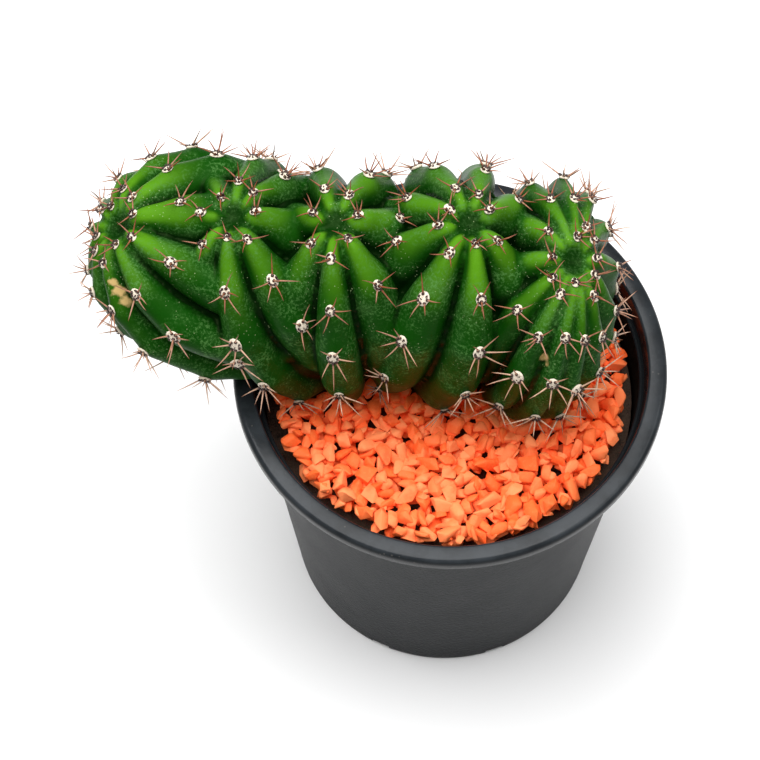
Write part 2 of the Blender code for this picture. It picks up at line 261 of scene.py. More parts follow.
print("shared effects:", GRAIN.name, "and", SPECKS.name)

# %% [markdown]
# ## The heads of the crest
# A crested cactus grows from several points in a row instead of one. Each head is a ribbed dome
# with its own growing point, and all of them close in to one neck. The heads could be sculpted by
# hand, but a few numbers each keep them where the frame's stem has them: growing point, root, half
# widths, and the bearing of each rib's crest, in millimetres and degrees. Only the creases at the
# growing points are cut softer than in the frame, because this skin is fine enough to show them.

# %% Head dimensions
HEADS = (
    dict(name="head1", crown=(-94, 13, 163), faces=(-0.70, 0.0, 1), root=(-30, 14, 127),
         lean=(-1.0, 0.0, 0.15), half_width=(26, 29), half_depth=(31, 35),
         bearings=(10, 47, 80, 112, 140, 166, 192, 218, 250, 284, 322)),
    dict(name="head2", crown=(-61, 13, 171), faces=(-0.15, 0.0, 1), root=(-34, 13, 98),
         lean=(-0.4, 0.0, 1.0), half_width=(26, 26), half_depth=(31, 33),
         bearings=(8, 46, 84, 126, 172, 222, 264, 308)),
    dict(name="head3", crown=(-33, 12, 172), faces=(-0.10, 0.0, 1), root=(-27, 14, 97),
         lean=(-0.1, 0.0, 1.0), half_width=(25, 25), half_depth=(32, 32),
         bearings=(14, 62, 112, 160, 222, 268, 314)),
    dict(name="head4", crown=(4, 13, 173), faces=(0.12, 0.0, 1), root=(-12, 14, 97),
         lean=(0.3, 0.0, 1.0), half_width=(28, 26), half_depth=(33, 34),
         bearings=(35, 75, 118, 155, 190, 238, 286, 334)),
    dict(name="head5", crown=(33, 6, 167), faces=(0.25, -0.05, 1), root=(13, 12, 97),
         lean=(0.7, 0.0, 1.0), half_width=(25, 19), half_depth=(31, 37),
         bearings=(10, 36, 62, 88, 115, 145, 180, 218, 245, 268, 292, 316, 342)),
)
print("ribs:", sum(len(head["bearings"]) for head in HEADS))

# %% [markdown]
# ## The outline of a head
# Without its ribs, a head is a dome round a curved axis, closing in to a neck. A stretched sphere
# could stand for it, but its axis would be straight: here the axis is a cubic curve, and the width
# is a share of the half widths that changes along it.

# %% Outline of a head
WIDEST = 0.45            # share of the axis, from the growing point, at which a head is widest
NECK_SHARE = 0.86        # share of its cross-section that a head loses by its root
NECK_BEND = 2.2          # how late the neck closes in
CROWN_PULL = 0.40        # how stiffly the axis leaves the growing point
ROOT_PULL = 0.33         # how stiffly it comes into the root
SQUARENESS = 2.2         # 2 is a round dome, more is squarer
DIMPLE = (4.0, 4.5)      # depth and reach of the hollow at a growing point, mm


def unit(vector):
    vector = np.array(vector, float)
    return vector / np.linalg.norm(vector)


def head_axis(head, share):
    """Middle line of a head: a cubic from the growing point (0) down to the root (1)."""
    crown = np.array(head["crown"], float)
    root = np.array(head["root"], float)
    span = np.linalg.norm(crown - root)
    below = crown - unit(head["faces"]) * span * CROWN_PULL
    above = root + unit(head["lean"]) * span * ROOT_PULL
    t = share[:, None]
    return ((1 - t) ** 3 * crown + 3 * (1 - t) ** 2 * t * below
            + 3 * (1 - t) * t ** 2 * above + t ** 3 * root)


def width_share(share):
    """Share of the full half width: a dome above, closing in to the neck below."""
    dome = np.clip(1 - np.abs(1 - share / WIDEST) ** SQUARENESS, 0, None) ** (1 / SQUARENESS)
    below = np.clip((share - WIDEST) / (1 - WIDEST), 0, 1)
    neck = np.sqrt(1 - NECK_SHARE * below ** NECK_BEND)
    return np.where(share < WIDEST, dome, neck)


def envelope(head, bearing, share):
    """The smooth outline that the rib crests lie on, without its creases."""
    step = 0.001
    middle = head_axis(head, share)
    down = head_axis(head, share + step) - head_axis(head, share - step)
    down /= np.linalg.norm(down, axis=1)[:, None]
    side = np.array((1.0, 0, 0)) - down * down[:, [0]]
    side /= np.linalg.norm(side, axis=1)[:, None]
    back = np.cross(side, down)
    across = np.cos(np.radians(bearing))
    along = np.sin(np.radians(bearing))
    front_depth, back_depth = head["half_depth"]
    depth = np.where(along > 0, back_depth, front_depth)
    left_width, right_width = head["half_width"]
    width = np.where(across > 0, right_width, left_width)
    offset = (width * across)[:, None] * side + (depth * along)[:, None] * back
    offset *= width_share(share)[:, None]
    reach = np.linalg.norm(offset, axis=1)
    dimple = DIMPLE[0] * np.exp(-(reach / DIMPLE[1]) ** 2)
    return middle + offset + down * dimple[:, None]


for head in HEADS:
    side = envelope(head, np.zeros(1), np.full(1, WIDEST))[0]
    print(head["name"], "right-hand side, mm:", side.round(1))

# %% [markdown]
# ## Ribs and creases
# The ribs of a cactus are fat folds with tight creases between them. They could be carved with a
# brush; here they are cut by a formula: across each rib the surface falls off like a circle. The
# depth of a crease follows the width of its rib, so the ribs fade out at the growing point by
# themselves. The flesh swells a little under each areole, so the places of the areoles are worked
# out here too. A fixed wave stands in for chance in their gaps.

# %% Ribs and creases
GROOVE = 0.62            # depth of a crease over the width of its rib
DEEPEST_GROOVE = 10.0    # mm
RIB_CREST = 1.8          # how broad the top of a rib is
RIB_FLANK = 0.6          # how steeply its sides drop into the crease
CROWN_CREASE = 0.25      # share by which creases are deeper at a growing point
CROWN_REACH = 12.0       # distance from the axis over which that share fades, mm
RING_CROWDING = 1.8      # crowds samples and rings of a head towards its growing point
CREST_SAMPLES = 200
SHARE_LIMITS = (0.0001, 0.998)
SHARE_STEP = 0.002
FIRST_AREOLE = 6.0       # distance from the growing point along the crest, mm
FIRST_STAGGER = 2.2      # a rib's first areole is none, one or two of these lower, mm
AREOLE_GAPS = (14.0, 17.0, 19.0) + (20.0,) * 8
GAP_WAVE = 0.10          # share by which a gap is longer or shorter
SWELL = 0.9              # how far the flesh swells under each areole, mm
SWELL_BELOW = 1.5        # distance from the areole down to the middle of its swelling, mm
SWELL_REACH = 4.0        # mm
SWELL_MEAN = 0.45        # taken off everywhere, so that the crest keeps its place on average
SWELL_FULL_WIDTH = 12    # ribs narrower than this swell less, mm


def rib_place(head, bearing):
    """Across a rib (0 on the crest, 1 in the crease), the rib's angle, and which rib it is."""
    crests = np.array(head["bearings"], float)
    wrapped = np.concatenate((crests - 360, crests, crests + 360))
    creases = (wrapped[1:] + wrapped[:-1]) / 2
    which = np.clip(np.searchsorted(creases, bearing), 1, len(creases) - 1)
    crest = wrapped[which]
    left = crest - creases[which - 1]
    right = creases[which] - crest
    turn = bearing - crest
    across = np.where(turn < 0, -turn / left, turn / right)
    return np.clip(across, 0, 1), left + right, which % len(crests)


def crest_lengths(head):
    """For each rib: shares down the crest and the distance along it, in mm."""
    share = np.linspace(0.01, 0.99, CREST_SAMPLES) ** RING_CROWDING
    lengths = []
    for bearing in head["bearings"]:
        line = envelope(head, np.full(len(share), float(bearing)), share)
        steps = np.linalg.norm(np.diff(line, axis=0), axis=1)
        lengths.append(np.concatenate(([0.0], np.cumsum(steps))))
    return share, lengths


def areole_distances(rib_number, length):
    """Distances of the areoles along a crest: close together where young, wider lower down."""
    at = FIRST_AREOLE + FIRST_STAGGER * ((rib_number * 7) % 3)
    found = []
    for gap in AREOLE_GAPS:
        if at > length:
            break
        found.append(at)
        at += gap * (1 + GAP_WAVE * math.sin(rib_number * 2.3 + at))
    return found


def head_form(head, bearing, share):
    """Points on the ribbed skin of a head, in mm, the outward direction and the place across."""
    share = np.clip(share, *SHARE_LIMITS)
    turn = 1.0
    step = np.minimum(SHARE_STEP, share / 2)
    smooth = envelope(head, bearing, share)
    round_way = envelope(head, bearing + turn, share) - envelope(head, bearing - turn, share)
    down_way = envelope(head, bearing, share + step) - envelope(head, bearing, share - step)
    outward = np.cross(down_way, round_way)
    outward /= np.maximum(np.linalg.norm(outward, axis=1)[:, None], 1e-9)
    across, angle, which = rib_place(head, bearing)
    width = np.linalg.norm(round_way, axis=1) / (2 * turn) * angle
    crease = 1 - np.clip(1 - across ** RIB_CREST, 0, 1) ** RIB_FLANK
    radius = np.linalg.norm(smooth - head_axis(head, share), axis=1)
    tighter = 1 + CROWN_CREASE * np.exp(-(radius / CROWN_REACH) ** 2)
    groove = np.minimum(GROOVE * width * tighter, DEEPEST_GROOVE) * crease
    rise = np.zeros(len(share))
    shares, lengths = crest_lengths(head)
    for rib_number, length in enumerate(lengths):
        here = which == rib_number
        at = np.interp(share[here], shares, length)
        swell = np.zeros(here.sum())
        for place in areole_distances(rib_number, length[-1]):
            swell += np.exp(-((at - place - SWELL_BELOW) / SWELL_REACH) ** 2)
        rise[here] = (swell - SWELL_MEAN) * SWELL * (1 - across[here] ** 2)
        rise[here] *= np.minimum(width[here] / SWELL_FULL_WIDTH, 1)
    return smooth + outward * (rise - groove)[:, None], outward, across


print("crest lengths of the first head, mm:", [round(c[-1]) for c in crest_lengths(HEADS[0])[1]])

# %% [markdown]
# ## Heads as spheres
# Each head starts as a sphere whose pole is the growing point, drawn out along its axis. A grid
# would do as well, but a sphere is closed already, which the next step needs. Each vertex also
# keeps where it lies: across its rib, and down from the growing point.

# %% Heads as spheres
STEM_TURNS = 240
STEM_RINGS = 110


def head_sphere(head):
    bm = bmesh.new()
    bmesh.ops.create_uvsphere(bm, u_segments=STEM_TURNS, v_segments=STEM_RINGS, radius=1.0)
    places = np.array([vert.co for vert in bm.verts])
    polar = np.arccos(np.clip(places[:, 2], -1, 1)) / math.pi
    bearing = np.degrees(np.arctan2(places[:, 1], places[:, 0])) % 360
    share = polar ** RING_CROWDING
    points, _, across = head_form(head, bearing, share)
    for vert, point in zip(bm.verts, points * MM):
        vert.co = point
    bmesh.ops.recalc_face_normals(bm, faces=bm.faces)
    shares, lengths = crest_lengths(head)
    down = np.interp(share, shares, np.mean(lengths, axis=0))
    return bm, across, down


def loose_heads():
    """All heads in one mesh, with each vertex's place across its rib and below its crown."""
    bm = bmesh.new()
    across_all, down_all = [], []
    for head in HEADS:
        part, across, down = head_sphere(head)
        mesh = bpy.data.meshes.new("head")
        part.to_mesh(mesh)
        part.free()
        bm.from_mesh(mesh)
        bpy.data.meshes.remove(mesh)
        across_all.append(across)
        down_all.append(down)
    return bm, np.concatenate(across_all), np.concatenate(down_all)


print("vertices a head:", STEM_TURNS * (STEM_RINGS - 1) + 2)

# %% [markdown]
# ## Growing the heads together
# The real plant is one piece, so its heads are joined into one closed skin. A Boolean union could
# do that but often fails on folds that touch; a voxel remesh always gives a closed skin. It leaves
# small steps, so each vertex is moved back onto the head it came from, unless it bridges two heads.
# Skin that would touch the pot's rim is moved off it.

# %% Grow the heads together
STEM_VOXEL = 0.9 * MM
SNAP_REACH = 0.7 * STEM_VOXEL
RIM_GAP = 0.6 * MM
MOUTH_WALL = 55.0 * MM   # radius of the pot's inner wall at the height below
MOUTH_HEIGHT = 108 * MM
WALL_TAPER = 0.08        # growth of that radius with height


def remeshed(bm, voxel):
    mesh = bpy.data.meshes.new("loose")
    bm.to_mesh(mesh)
    loose = bpy.data.objects.new("loose", mesh)
    bpy.context.scene.collection.objects.link(loose)
    grow = loose.modifiers.new("grow together", "REMESH")
    grow.mode = "VOXEL"
    grow.voxel_size = voxel
    depsgraph = bpy.context.evaluated_depsgraph_get()
    grown = bpy.data.meshes.new_from_object(loose.evaluated_get(depsgraph))
    bpy.data.objects.remove(loose)
    bpy.data.meshes.remove(mesh)
    return grown


def clear_of_rim(places):
    """Moves skin that would touch the pot's rim the shortest way off it."""
    reach = np.hypot(places[:, 0], places[:, 1])
    wall = MOUTH_WALL + (places[:, 2] - MOUTH_HEIGHT) * WALL_TAPER
    up = POT_HEIGHT + RIM_GAP - places[:, 2]
    inward = reach - (wall - RIM_GAP)
    outward = RIM_RADIUS + RIM_GAP - reach
    touching = (up > 0) & (inward > 0) & (outward > 0)
    lift = touching & (up <= inward) & (up <= outward)
    pull = touching & ~lift & (inward <= outward)
    push = touching & ~lift & ~pull
    places[lift, 2] += up[lift]
    scale = 1 - inward / np.maximum(reach, 1e-6)
    places[pull, :2] *= scale[pull, None]
    scale = 1 + outward / np.maximum(reach, 1e-6)
    places[push, :2] *= scale[push, None]
    return places


def build_skin():
    loose, across, down = loose_heads()
    tree = BVHTree.FromBMesh(loose)
    loose.verts.ensure_lookup_table()
    loose.faces.ensure_lookup_table()
    grown = remeshed(loose, STEM_VOXEL)
    places = vertex_places(grown)
    crease = np.zeros(len(places))
    below = np.zeros(len(places))
    for i, place in enumerate(places):
        spot, _, face, distance = tree.find_nearest(Vector(place))
        if distance < SNAP_REACH:
            places[i] = spot
        nearest = min(loose.faces[face].verts, key=lambda v: (v.co - spot).length_squared)
        crease[i] = across[nearest.index]
        below[i] = down[nearest.index]
    loose.free()
    grown.vertices.foreach_set("co", clear_of_rim(places).astype(np.float32).ravel())
    store(grown, "crease", crease)
    store(grown, "below_crown", below)
    return grown


SKIN = build_skin()
print("skin faces:", len(SKIN.polygons))

# %% [markdown]
# ## What the skin's finish reads
# Crests catch light and wear; hollows stay dark. The skin's colour carries painted light on the
# crests and on faces turned up, and painted shade in the hollows. A material could guess this from
# its angle, but not from its shape, so the mesh stores it: how far each vertex stands out of a
# smoothed copy of the skin, and how far it faces up. Each round of smoothing moves a vertex to its
# neighbours' mean.

# %% Relief and slope of the skin
RELIEF_ROUNDS = 60


def vertex_normals(mesh):
    normals = np.empty(len(mesh.vertices) * 3, dtype=np.float32)
    mesh.vertices.foreach_get("normal", normals)
    return normals.reshape(-1, 3).astype(float)


def relief(mesh, rounds):
    """How far each vertex stands out of (+) or lies in (-) the smoothed surface, in mm."""
    count = len(mesh.vertices)
    places = vertex_places(mesh)
    ends = np.empty(len(mesh.edges) * 2, dtype=np.int32)
    mesh.edges.foreach_get("vertices", ends)
    first, second = ends.reshape(-1, 2).T
    links = np.bincount(first, minlength=count) + np.bincount(second, minlength=count)
    smooth = places.copy()
    for _ in range(rounds):
        total = np.empty_like(smooth)
        for axis in range(3):
            total[:, axis] = np.bincount(first, smooth[second, axis], minlength=count)
            total[:, axis] += np.bincount(second, smooth[first, axis], minlength=count)
        smooth = total / links[:, None]
    return ((places - smooth) * vertex_normals(mesh)).sum(axis=1) / MM


RELIEF = relief(SKIN, RELIEF_ROUNDS)
store(SKIN, "relief", RELIEF)
store(SKIN, "upward", vertex_normals(SKIN)[:, 2])
print("relief, mm, at 5, 50 and 95 percent:", np.percentile(RELIEF, (5, 50, 95)).round(2))

# %% [markdown]
# ## The skin's finish
# Cactus skin is waxy: a fairly smooth green with a soft shine. Young flesh near a growing point and
# along the crests is yellower, a grey bloom lies in patches, and old skin carries tiny pale specks
# and corky scars. Painted light makes the young colour stronger on the crests and on faces turned up,
# and painted shade darkens the creases, hollows and growing points. It could be painted on the mesh;
# nodes are chosen because they stay sharp from close by. Creases, crests, young flesh and slopes are
# read from the four numbers stored on the mesh, and everything else is a pattern in object space.

# %% Skin colours and scars
# young flesh colour, which is also laid on crests and upward faces as painted light
YOUNG_AND_LIT_GREEN = (0.075, 0.230, 0.007, 1)
MATURE_GREEN = (0.004, 0.048, 0.002, 1)
# painted shade: the near-black green laid into creases, hollows and growing points
CREASE_SHADE_GREEN = (0.0008, 0.009, 0.0006, 1)
BLOOM_GREEN = (0.055, 0.140, 0.035, 1)
FLECK_GREEN = (0.070, 0.190, 0.045, 1)
CORK_TAN = (0.480, 0.330, 0.130, 1)
PALE_SPECK = (0.420, 0.520, 0.260, 1)
SCARS = (                # place and reach, mm
    ((-92.6, -2.0, 157.2), 3.1),
    ((-91.2, -4.0, 155.6), 3.5),
    ((-89.6, -6.0, 153.6), 3.3),
    ((25.7, -15.6, 149.6), 3.3),
)


def scar_mask(tree, where):
    """Ragged corky patches round a few places on the skin."""
    ragged = noise_at(tree, where, 330.0, 3.0)
    total = None
    for place, radius in SCARS:
        away = node(tree, "ShaderNodeVectorMath", operation="DISTANCE")
        away.inputs[1].default_value = Vector(place) * MM
        tree.links.new(where, away.inputs[0])
        wavy = maths(tree, "ADD", away.outputs["Value"], maths(tree, "MULTIPLY", ragged, 5 * MM))
        patch = ramp(tree, wavy, radius * MM, (radius + 1.2) * MM, 1.0, 0.0)
        total = patch if total is None else maths(tree, "MAXIMUM", total, patch)
    return total


print("scars:", len(SCARS))

# %% Skin material
YOUTH_WANDER = 40.0      # how far the edge of the young flesh wanders, mm
YOUTH_FADE = (18.0, 56.0)  # mm down from the growing point, with the wander
MOTTLE_STRENGTH = 0.75
BLOOM_STRENGTH = 0.30
DOT_STRENGTH = 0.35


def skin_material():
    made, tree, shader = new_material("waxy cactus skin", 0.42)
    where = object_coordinates(tree)
    crease = attribute(tree, "crease")
    below = attribute(tree, "below_crown")
    stands_out = attribute(tree, "relief")
    broad = noise_at(tree, where, 38.0, 2.0)
    patches = noise_at(tree, where, 95.0, 4.0, 0.6)
    # young flesh near the growing point, with painted light that makes it stronger on the crests and
    # on faces turned up
    reach = maths(tree, "ADD", below, maths(tree, "MULTIPLY", broad, YOUTH_WANDER))
    youth_and_light = ramp(tree, reach, *YOUTH_FADE, 1.0, 0.0)
    youth_and_light = maths(tree, "MULTIPLY", youth_and_light, ramp(tree, below, 0.5, 5.0, 0.2, 1.0))
    crest = ramp(tree, stands_out, -0.2, 1.3, 0.05, 1.0)
    painted_top_light = ramp(tree, attribute(tree, "upward"), 0.05, 0.85, 0.18, 1.0)
    youth_and_light = maths(tree, "MULTIPLY", youth_and_light, painted_top_light)
    colour = blend_colour(tree, maths(tree, "MULTIPLY", youth_and_light, crest), MATURE_GREEN, YOUNG_AND_LIT_GREEN)
    # grey bloom and fine mottling in patches
    bloom = maths(tree, "MULTIPLY", ramp(tree, patches, 0.52, 0.74), BLOOM_STRENGTH)
    colour = blend_colour(tree, bloom, colour, BLOOM_GREEN)
    flecks = grain(tree, where, 1300.0, 0.9)
    mottle = ramp(tree, flecks, 0.95, 1.12)
    mottle = maths(tree, "MULTIPLY", mottle, ramp(tree, patches, 0.38, 0.60))
    mottle = maths(tree, "MULTIPLY", mottle, MOTTLE_STRENGTH)
    colour = blend_colour(tree, mottle, colour, FLECK_GREEN)
    # painted shade: dark green laid into the hollows, creases and growing points
    hollow = ramp(tree, stands_out, -1.7, -0.1, 1.0, 0.0)
    hollow = maths(tree, "MAXIMUM", hollow, ramp(tree, crease, 0.72, 0.98, 0.0, 1.0))
    hollow = maths(tree, "MAXIMUM", hollow, ramp(tree, below, 1.0, 4.5, 0.65, 0.0))
    colour = blend_colour(tree, hollow, colour, CREASE_SHADE_GREEN)
    # pale pin-pricks and corky scars
    dots = maths(tree, "MULTIPLY", specks(tree, where, 900.0, 0.15), DOT_STRENGTH)
    colour = blend_colour(tree, dots, colour, PALE_SPECK)
    scar = scar_mask(tree, where)
    colour = blend_colour(tree, scar, colour, CORK_TAN)
    tree.links.new(colour, shader.inputs["Base Color"])
    rough = maths(tree, "ADD", maths(tree, "MULTIPLY", patches, 0.22), 0.28)
    rough = maths(tree, "ADD", rough, maths(tree, "MULTIPLY", scar, 0.35))
    tree.links.new(rough, shader.inputs["Roughness"])
    height = maths(tree, "ADD", grain(tree, where, 900.0, 0.5), maths(tree, "MULTIPLY", scar, 1.2))
    bump(tree, shader, height, 0.12 * MM, 0.55)
    shader.inputs["Specular IOR Level"].default_value = 0.05
    shader.inputs["Specular Tint"].default_value = (0.75, 1.0, 0.45, 1)
    return made


SKIN_FINISH = skin_material()
print("skin nodes:", len(SKIN_FINISH.node_tree.nodes))

# %% [markdown]
# ## Finishing the stem
# The stem goes down into the soil, where nobody sees it, so it is cut off flat below the gravel and
# the cut is closed. A light smoothing takes away the last steps of the remesh.

# %% Finish the stem
STEM_FLOOR = 95.0 * MM
CUT_REACH = 0.01 * MM    # vertices this near the cut count as on it
SKIN_SMOOTHING = 0.35

bm = bmesh.new()
bm.from_mesh(SKIN)
everything = bm.verts[:] + bm.edges[:] + bm.faces[:]
bisected = bmesh.ops.bisect_plane(bm, geom=everything, dist=CUT_REACH, plane_co=(0, 0, STEM_FLOOR),
                                  plane_no=(0, 0, -1), clear_outer=True)
cut_edges = [e for e in bisected["geom_cut"] if isinstance(e, bmesh.types.BMEdge)]
bmesh.ops.holes_fill(bm, edges=cut_edges, sides=0)
bmesh.ops.smooth_vert(bm, verts=bm.verts, factor=SKIN_SMOOTHING,
                      use_axis_x=True, use_axis_y=True, use_axis_z=True)
STEM = add_piece("ribbed_stem", bm, SKIN_FINISH, ("cactus_stem",))
bpy.context.view_layer.update()
SKIN_TREE = BVHTree.FromObject(STEM, bpy.context.evaluated_depsgraph_get())
print("stem triangles:", sum(len(p.vertices) - 2 for p in STEM.data.polygons))

# %% [markdown]
# ## Where the areoles sit
# An areole is the felt cushion that bears the spines. They sit on the crests, close together near
# the growing point and further apart lower down. Scattering them by chance would miss the crests,
# so the rib formula gives each place. A ray from outside finds the skin there, and a place that a
# neighbouring head has grown over is left out.

# %% Areole places
LOWEST_AREOLE = 110.0 * MM
BURIED_DEPTH = 2.2 * MM
RAY_START = 30 * MM      # distance outside the skin
CLOSEST_AREOLES = 3.6 * MM
FULL_AGE = 45.0          # distance down the crest at which an areole is fully grown, mm
DOWNHILL_STEP = 0.01


def find_areoles():
    found = []
    for head in HEADS:
        shares, lengths = crest_lengths(head)
        for rib_number, (bearing, length) in enumerate(zip(head["bearings"], lengths)):
            distances = areole_distances(rib_number, length[-1])
            at = np.interp(distances, length, shares)
            bearings = np.full(len(at), float(bearing))
            points, outward, _ = head_form(head, bearings, at)
            lower, _, _ = head_form(head, bearings, at + DOWNHILL_STEP)
            for distance, point, out, under in zip(distances, points, outward, lower):
                out = Vector(out)
                start = Vector(point) * MM + out * RAY_START
                spot, normal, _, travel = SKIN_TREE.ray_cast(start, -out)
                if spot is None or abs(travel - RAY_START) > BURIED_DEPTH:
                    continue
                if spot.z < LOWEST_AREOLE:
                    continue
                if any((spot - other["spot"]).length < CLOSEST_AREOLES for other in found):
                    continue
                down = Vector(under - point)
                normal = (normal + out).normalized()
                down = (down - normal * down.dot(normal)).normalized()
                age = min(distance / FULL_AGE, 1.0)
                found.append(dict(spot=spot, normal=normal, down=down, age=age))
    return found


AREOLES = find_areoles()
print("areoles:", len(AREOLES))

# %% [markdown]
# ## Felt pads
# The felt is a low oval dome of short pale hairs. Real hair would be far too heavy, so one pad is
# shaped once, with a lumpy edge, and its material gives the tufts. Copies are turned to their
# places with small changes of size, and joined into one piece. A pad has only a few dozen faces,
# because it is repeated more than a hundred times.

# %% Felt pads
PAD_LENGTH = 2.15 * MM
PAD_WIDTH = 1.75 * MM
PAD_DOME = 0.60 * MM
PAD_LUMPS = (0.14, 2.3)  # height and frequency of the lumps, over the pad's half size
PAD_LIFT = 0.15 * MM
YOUNG_PAD = 0.72         # size of the youngest pad
PAD_GROWTH = 0.36        # added with age
LOW_PAD_LOSS = 0.30      # taken off near the gravel
LOW_PADS = (140 * MM, 22 * MM)     # pads get smaller below the first height, over the second
FELT_CREAM = (0.80, 0.70, 0.56, 1)
FELT_SHADE = (0.42, 0.30, 0.20, 1)
GRIMY = (116 * MM, 142 * MM)       # low felt is grimy up to these heights


def pad_template():
    bm = bmesh.new()
    bmesh.ops.create_uvsphere(bm, u_segments=12, v_segments=6, radius=1.0)
    for vert in bm.verts:
        lump = 1 + PAD_LUMPS[0] * noise.noise(vert.co * PAD_LUMPS[1])
        x, y, z = vert.co
        vert.co = Vector((x * PAD_WIDTH, y * PAD_LENGTH, z * PAD_DOME)) * lump
    mesh = bpy.data.meshes.new("pad")
    bm.to_mesh(mesh)
    bm.free()
    return mesh


def placed(template, matrix):
    copy = template.copy()
    copy.transform(matrix)
    return copy


def join_copies(copies):
    bm = bmesh.new()
    for copy in copies:
        bm.from_mesh(copy)
        bpy.data.meshes.remove(copy)
    return bm


def areole_matrix(areole):
    side = areole["down"].cross(areole["normal"]).normalized()
    matrix = Matrix((side, areole["down"], areole["normal"])).transposed().to_4x4()
    matrix.translation = areole["spot"]
    return matrix


def lowness(height, top, depth):
    """0 at the height top or above it, 1 where the height is depth or more below top."""
    return min(max((top - height) / depth, 0.0), 1.0)


def felt_material():
    made, tree, shader = new_material("areole felt", 0.95)
    where = object_coordinates(tree)
    tufts = grain(tree, where, 1500.0, 0.8)
    colour = blend_colour(tree, ramp(tree, tufts, 0.35, 0.95), FELT_SHADE, FELT_CREAM)
    up = node(tree, "ShaderNodeSeparateXYZ")
    tree.links.new(where, up.inputs["Vector"])
    grimy = ramp(tree, up.outputs["Z"], *GRIMY, 0.75, 0.0)
    colour = blend_colour(tree, grimy, colour, FELT_SHADE)
    tree.links.new(colour, shader.inputs["Base Color"])
    bump(tree, shader, tufts, 0.25 * MM, 0.8)
    shader.inputs["Sheen Weight"].default_value = 0.25
    return made


rng = random.Random(7)
template = pad_template()
lift = Matrix.Translation((0, 0, PAD_LIFT))
copies = []
for areole in AREOLES:
    low = lowness(areole["spot"].z, *LOW_PADS)
    size = YOUNG_PAD + PAD_GROWTH * areole["age"] - LOW_PAD_LOSS * low
    areole["size"] = size * rng.uniform(0.88, 1.12)
    matrix = areole_matrix(areole) @ lift @ Matrix.Scale(areole["size"], 4)
    copies.append(placed(template, matrix))
add_piece("areole_felt", join_copies(copies), felt_material())
print("felt pads:", len(copies))

# %% [markdown]
# ## One spine
# A spine is a thin cone with a thicker socket where it leaves the felt, and a slight curve. A curve
# object with a taper could make it; a circle extruded ring by ring gives full say over the socket
# with few faces. Three spines, bent to either side and straight, are enough for all.

# %% One spine
SPINE_RINGS = (0.0, 0.03, 0.07, 0.12, 0.3, 0.5, 0.7, 0.88, 1.0)
SPINE_PROFILE = (0.44, 0.54, 0.43, 0.24, 0.22, 0.18, 0.14, 0.08, 0.02)
SPINE_SIDES = 6
SPINE_CURVES = (-0.7, 0.0, 0.8)    # sideways bend at the tip, mm


def spine_template(curve):
    """A cone of unit length along +Z, thicker at its socket, bent by curve towards +X."""
    bm = bmesh.new()
    bmesh.ops.create_circle(bm, cap_ends=True, segments=SPINE_SIDES, radius=SPINE_PROFILE[0] * MM)
    ring = bm.edges[:]
    for height, before, radius in zip(SPINE_RINGS[1:], SPINE_PROFILE, SPINE_PROFILE[1:]):
        grown = bmesh.ops.extrude_edge_only(bm, edges=ring)["geom"]
        ring = [e for e in grown if isinstance(e, bmesh.types.BMEdge)]
        for vert in {v for e in ring for v in e.verts}:
            vert.co = Vector((vert.co.x * radius / before, vert.co.y * radius / before, height))
    bmesh.ops.contextual_create(bm, geom=ring)
    for vert in bm.verts:
        vert.co.x += curve * MM * vert.co.z ** 2
    bmesh.ops.recalc_face_normals(bm, faces=bm.faces)
    mesh = bpy.data.meshes.new("spine")
    bm.to_mesh(mesh)
    bm.free()
    return mesh


SPINE_SHAPES = [spine_template(curve) for curve in SPINE_CURVES]
print("faces a spine:", len(SPINE_SHAPES[0].polygons))

# %% [markdown]
# ## Fans of spines
# Each areole bears a fan: most spines lie to the sides and downwards, one may stand up, and some
# sockets are bare, with only a dark stub. The fan could be one shape copied everywhere, but the
# eye finds a repeated fan at once, so each is drawn anew from the same seed. A spine that would
# run into the skin is cut short.

# %% Fans of spines
SPINE_LENGTH = (6.0, 9.0)          # mm
YOUNG_LENGTH = 0.62                # share of the full length at the growing point
LENGTH_GROWTH = 0.38               # added with age
SOCKET_STUB = 0.8 * MM
SOCKET_SPREAD = 1.15 * MM          # distance of the sockets from the middle of the felt
SOCKET_LIFT = 0.50 * MM
SHORTEST_SPINE = 2.5 * MM
DARK_SPINES = (166 * MM, 30 * MM)  # spines get paler below the first height, over the second


def fan_directions(rng, age):
    """An areole's spines: turn from downhill, lean from upright, share of the length (0 is bare)."""
    turns = [-150, 152, -98, 100, -48, 50, 2]
    shares = [rng.uniform(0.75, 1.05) for _ in turns]
    for bare in rng.sample(range(4), 2 if age < 0.6 else 1):
        shares[bare] = 0.0
    spines = [(turn + rng.uniform(-12, 12), rng.uniform(50, 72), share)
              for turn, share in zip(turns, shares)]
    if age < 0.35:
        del spines[6]
    spines.append((rng.uniform(-40, 40), rng.uniform(5, 25), rng.choice((0.0, 0.9))))
    return spines


